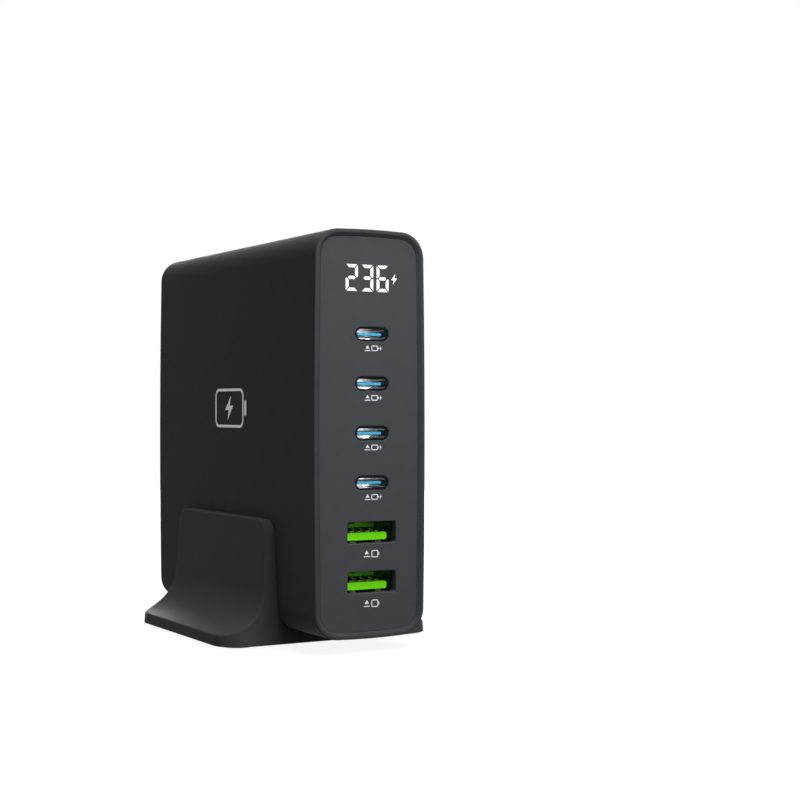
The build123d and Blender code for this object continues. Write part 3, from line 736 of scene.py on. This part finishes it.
# Light from the wells is even, with a faint drop towards the walls between them.
segment_light, tree, place = start_material("light_through_thin_wall")
glow = add_node(tree, "ShaderNodeTexNoise", {"Scale": 1 / light_drift, "Detail": 1.0}, {"Vector": place})
whites = add_node(
    tree,
    "ShaderNodeMix",
    {"data_type": "RGBA", 6: linear(light_dim), 7: linear(light_full)},
    {0: glow.outputs["Fac"]},
)
finish_material(
    tree,
    {"Roughness": 0.5, "Emission Strength": 1.0, "Base Color": linear(segment_body)},
    {"Emission Color": whites.outputs[2]},
)

# White ink lies thin and matt on the dark panel.
white_ink = moulded(
    "ink_white_pad_printed", white_ink_dark, white_ink_light, 0.12 * mm, 0.002 * mm, {"Roughness": 0.6}
)


def inset(outline, gap):
    """Moves each edge of a convex outline inwards by the gap. The outline runs anticlockwise."""
    moved = []
    count = len(outline)
    for i in range(count):
        corner = Vector(outline[i])
        back = (corner - Vector(outline[i - 1])).normalized()
        ahead = (Vector(outline[(i + 1) % count]) - corner).normalized()
        inward = Vector((-back.y, back.x)) + Vector((-ahead.y, ahead.x))
        moved.append(tuple(corner + inward * gap / (1 + back.dot(ahead))))
    return moved


w, h, t = digit_width, digit_height, digit_stroke
top = [(0, h), (t, h - t), (w - t, h - t), (w, h)]
upper_left = [(0, h), (0, h / 2), (t / 2, h / 2), (t, h / 2 + t / 2), (t, h - t)]
bar = [
    (t / 2, h / 2),
    (t, h / 2 - t / 2),
    (w - t, h / 2 - t / 2),
    (w - t / 2, h / 2),
    (w - t, h / 2 + t / 2),
    (t, h / 2 + t / 2),
]
upper_right = [(w - x, y) for x, y in reversed(upper_left)]
segments = {
    "a": top,
    "b": upper_right,
    "c": [(x, h - y) for x, y in reversed(upper_right)],
    "d": [(x, h - y) for x, y in reversed(top)],
    "e": [(x, h - y) for x, y in reversed(upper_left)],
    "f": upper_left,
    "g": bar,
}
lit_segments = {"2": "abged", "3": "abgcd", "6": "afgedc"}
lit = []
for place_number, digit in enumerate(reading):
    shift = (place_number - (len(reading) - 1) / 2) * digit_pitch - digit_width / 2
    for letter in lit_segments[digit]:
        lit.append([(x + shift, y - h / 2) for x, y in inset(segments[letter], digit_gap / 2)])
reading_end = (len(reading) / 2) * digit_pitch
lit.append(bolt(reading_end + reading_bolt_gap, 0.0, reading_bolt_width, reading_bolt_height))
panel_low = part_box("front_panel")[0]
module_low, module_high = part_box("display_module")
module_x = (module_low.x + module_high.x) / 2
module_z = (module_low.z + module_high.z) / 2
reading_place = (module_x + reading_x * mm, panel_low.y, module_z + reading_z * mm)
repeat(
    "display_reading",
    flat_mesh("display_reading", lit, segment_depth, (1, 0, 0), (0, 0, 1), reading_place),
    segment_light,
)

# Each sign is an arrow over a bar and a battery with its tip, in millimetres from the sign's middle.
narrow_sign = [
    [(-1.85, -0.1), (-0.75, -0.1), (-1.3, 0.72)],
    rounded_box(-1.3, -0.58, 1.6, 0.2, 0.08),
    rounded_box(0.7, 0.0, 1.8, 1.36, 0.3),
    rounded_box(0.7, 0.0, 1.38, 0.94, 0.12),
    rounded_box(1.76, 0.0, 0.2, 0.5, 0.08),
    bolt(2.35, 0.0, 0.64, 1.3),
]
wide_sign = [
    [(-2.1, -0.05), (-0.9, -0.05), (-1.5, 0.9)],
    rounded_box(-1.5, -0.64, 1.7, 0.22, 0.08),
    rounded_box(0.75, 0.0, 1.9, 1.8, 0.35),
    rounded_box(0.75, 0.0, 1.44, 1.34, 0.14),
    rounded_box(1.86, 0.0, 0.22, 0.7, 0.08),
]
wide_z = (wide_low.z + wide_high.z) / 2
narrow_place = (column_x, panel_low.y, first_z - narrow_sign_drop)
wide_place = (column_x, panel_low.y, wide_z - wide_sign_drop)
repeat(
    "narrow_port_signs",
    flat_mesh("narrow_port_sign", narrow_sign, ink_thickness, (1, 0, 0), (0, 0, 1), narrow_place),
    white_ink,
    rows=4,
    row_step=(0, 0, port_step),
)
repeat(
    "wide_port_signs",
    flat_mesh("wide_port_sign", wide_sign, ink_thickness, (1, 0, 0), (0, 0, 1), wide_place),
    white_ink,
    rows=2,
    row_step=(0, 0, wide_step),
)

# Stand: a one-piece saddle that the charger drops into, two drafted cheeks on a flared foot.
# It is moulded in the same dark blend as the housing, with a slightly coarser spark texture.
stand_dark = "#3f4144"
stand_light = "#444649"

# The coarser spark scatters light a little more than the housing's, and hides rubbing from the case.
stand_plastic = moulded(
    "abs_spark_textured",
    stand_dark,
    stand_light,
    0.2 * mm,
    0.014 * mm,
    {"Roughness": 0.6, "Specular IOR Level": 0.025},
)
dress(stand_plastic, "stand")

# Foot pads: four silicone discs under the corners of the foot, so that it doesn't slide.
# They are punched from moulded sheet and bonded into shallow recesses, a little proud of the base.
rubber_dark = "#111213"
rubber_light = "#191a1c"

# Sheet rubber is black and dull, with the faint grain of the press plate.
rubber = moulded(
    "silicone_rubber_moulded", rubber_dark, rubber_light, 0.3 * mm, 0.02 * mm, {"Roughness": 0.75}
)
dress(rubber, *[f"foot_pad_{i}" for i in range(1, 5)])

# Studio floor: a disc of plain paper, a hair below the pads.
# It shows white to the eye and in reflections, and it keeps the object's soft shadow.
floor_reach = 2.5
floor_drop = 0.05 * mm
paper_dark = "#666666"
paper_light = "#6c6c6c"
paper_fibre = 0.8 * mm
near_glow = 0.9
near_reach = 0.08
far_reach = 0.4


def shown_white(tree):
    """Gives 1 to rays from the eye, off a mirror or through glass, and 0 to those that carry light."""
    path = add_node(tree, "ShaderNodeLightPath").outputs
    straight = {0: path["Is Camera Ray"], 1: path["Is Glossy Ray"]}
    seen = add_node(tree, "ShaderNodeMath", {"operation": "MAXIMUM"}, straight).outputs[0]
    bent = {0: seen, 1: path["Is Transmission Ray"]}
    return add_node(tree, "ShaderNodeMath", {"operation": "MAXIMUM"}, bent).outputs[0]


# Paper is dull with faint fibres; it glows to the eye and in mirrors, and throws no extra light.
paper, tree, place = start_material("paper_uncoated")
fibres = add_node(
    tree, "ShaderNodeTexNoise", {"Scale": 1 / paper_fibre, "Detail": 2.0}, {"Vector": place}
)
greys = add_node(
    tree,
    "ShaderNodeMix",
    {"data_type": "RGBA", 6: linear(paper_dark), 7: linear(paper_light)},
    {0: fibres.outputs["Fac"]},
)
shown = shown_white(tree)
away = add_node(tree, "ShaderNodeVectorMath", {"operation": "LENGTH"}, {0: place})
level = add_node(
    tree,
    "ShaderNodeMapRange",
    {"From Min": near_reach, "From Max": far_reach, "To Min": near_glow, "To Max": 1.0},
    {"Value": away.outputs["Value"]},
)
white = add_node(
    tree, "ShaderNodeMath", {"operation": "MULTIPLY"}, {0: shown, 1: level.outputs["Result"]}
)
finish_material(
    tree,
    {"Roughness": 0.95, "Specular IOR Level": 0.0, "Emission Color": (1, 1, 1, 1)},
    {"Base Color": greys.outputs[2], "Emission Strength": white.outputs[0]},
)
edge = [math.radians(angle) for angle in range(0, 360, 6)]
edge_points = [
    (floor_reach * math.cos(angle), floor_reach * math.sin(angle), -floor_drop) for angle in edge
]
floor_mesh = bpy.data.meshes.new("floor")
floor_mesh.from_pydata(edge_points, [], [range(len(edge_points))])
floor_mesh.materials.append(paper)
floor = bpy.data.objects.new("floor", floor_mesh)
bpy.context.scene.collection.objects.link(floor)

# Light: a small soft box close in front, a weak one far off, a wide one overhead and one behind.
# None hangs to the left, so the left wall has only what comes from the sky and off the floor.
# The sky is white to the eye and in reflections, and dim for everything else.


def soft_light(name, place, target, width, height, power):
    """Hangs a soft box and points it at the target."""
    data = bpy.data.lights.new(name, "AREA")
    data.shape = "RECTANGLE"
    data.size = width
    data.size_y = height
    data.energy = power
    light = bpy.data.objects.new(name, data)
    light.location = place
    light.visible_camera = False
    light.rotation_euler = (Vector(target) - Vector(place)).to_track_quat("-Z", "Y").to_euler()
    bpy.context.scene.collection.objects.link(light)


middle = (0.0, 0.0, 50 * mm)
dim_sky = 0.15
soft_light("front_box", (0.01, -0.22, 0.22), middle, 0.08, 0.14, 0.4)
soft_light("fill_box", (0.16, -0.95, 0.2), middle, 0.5, 0.5, 1.75)
soft_light("top_box", (0.12, -0.1, 0.85), middle, 1.0, 0.7, 6.0)
soft_light("back_box", (0.27, 0.62, 0.2), middle, 0.4, 0.3, 4.8)
world = bpy.data.worlds.new("studio")
bpy.context.scene.world = world
world.use_nodes = True
tree = world.node_tree
tree.nodes.clear()
shown = shown_white(tree)
level = add_node(tree, "ShaderNodeMapRange", {"To Min": dim_sky, "To Max": 1.0}, {"Value": shown})
sky = add_node(
    tree, "ShaderNodeBackground", {"Color": (1.0, 1.0, 1.0, 1.0)}, {"Strength": level.outputs["Result"]}
)
add_node(tree, "ShaderNodeOutputWorld", None, {"Surface": sky.outputs["Background"]})

# Camera: at table height to the front left, with the long lens and the place that the photograph has.
camera_place = (-184.06 * mm, -383.40 * mm, 59.98 * mm)
camera_tilt = 90.258
camera_turn = -30.01
sensor_width = 36.0
focal_length = 70.02
camera_data = bpy.data.cameras.new("camera")
camera_data.sensor_width = sensor_width
camera_data.lens = focal_length
camera_data.clip_start = 10 * mm
camera_data.clip_end = 20.0
camera = bpy.data.objects.new("camera", camera_data)
camera.location = camera_place
camera.rotation_euler = (math.radians(camera_tilt), 0.0, math.radians(camera_turn))
bpy.context.scene.collection.objects.link(camera)
bpy.context.scene.camera = camera
bpy.context.scene.view_settings.view_transform = "Standard"
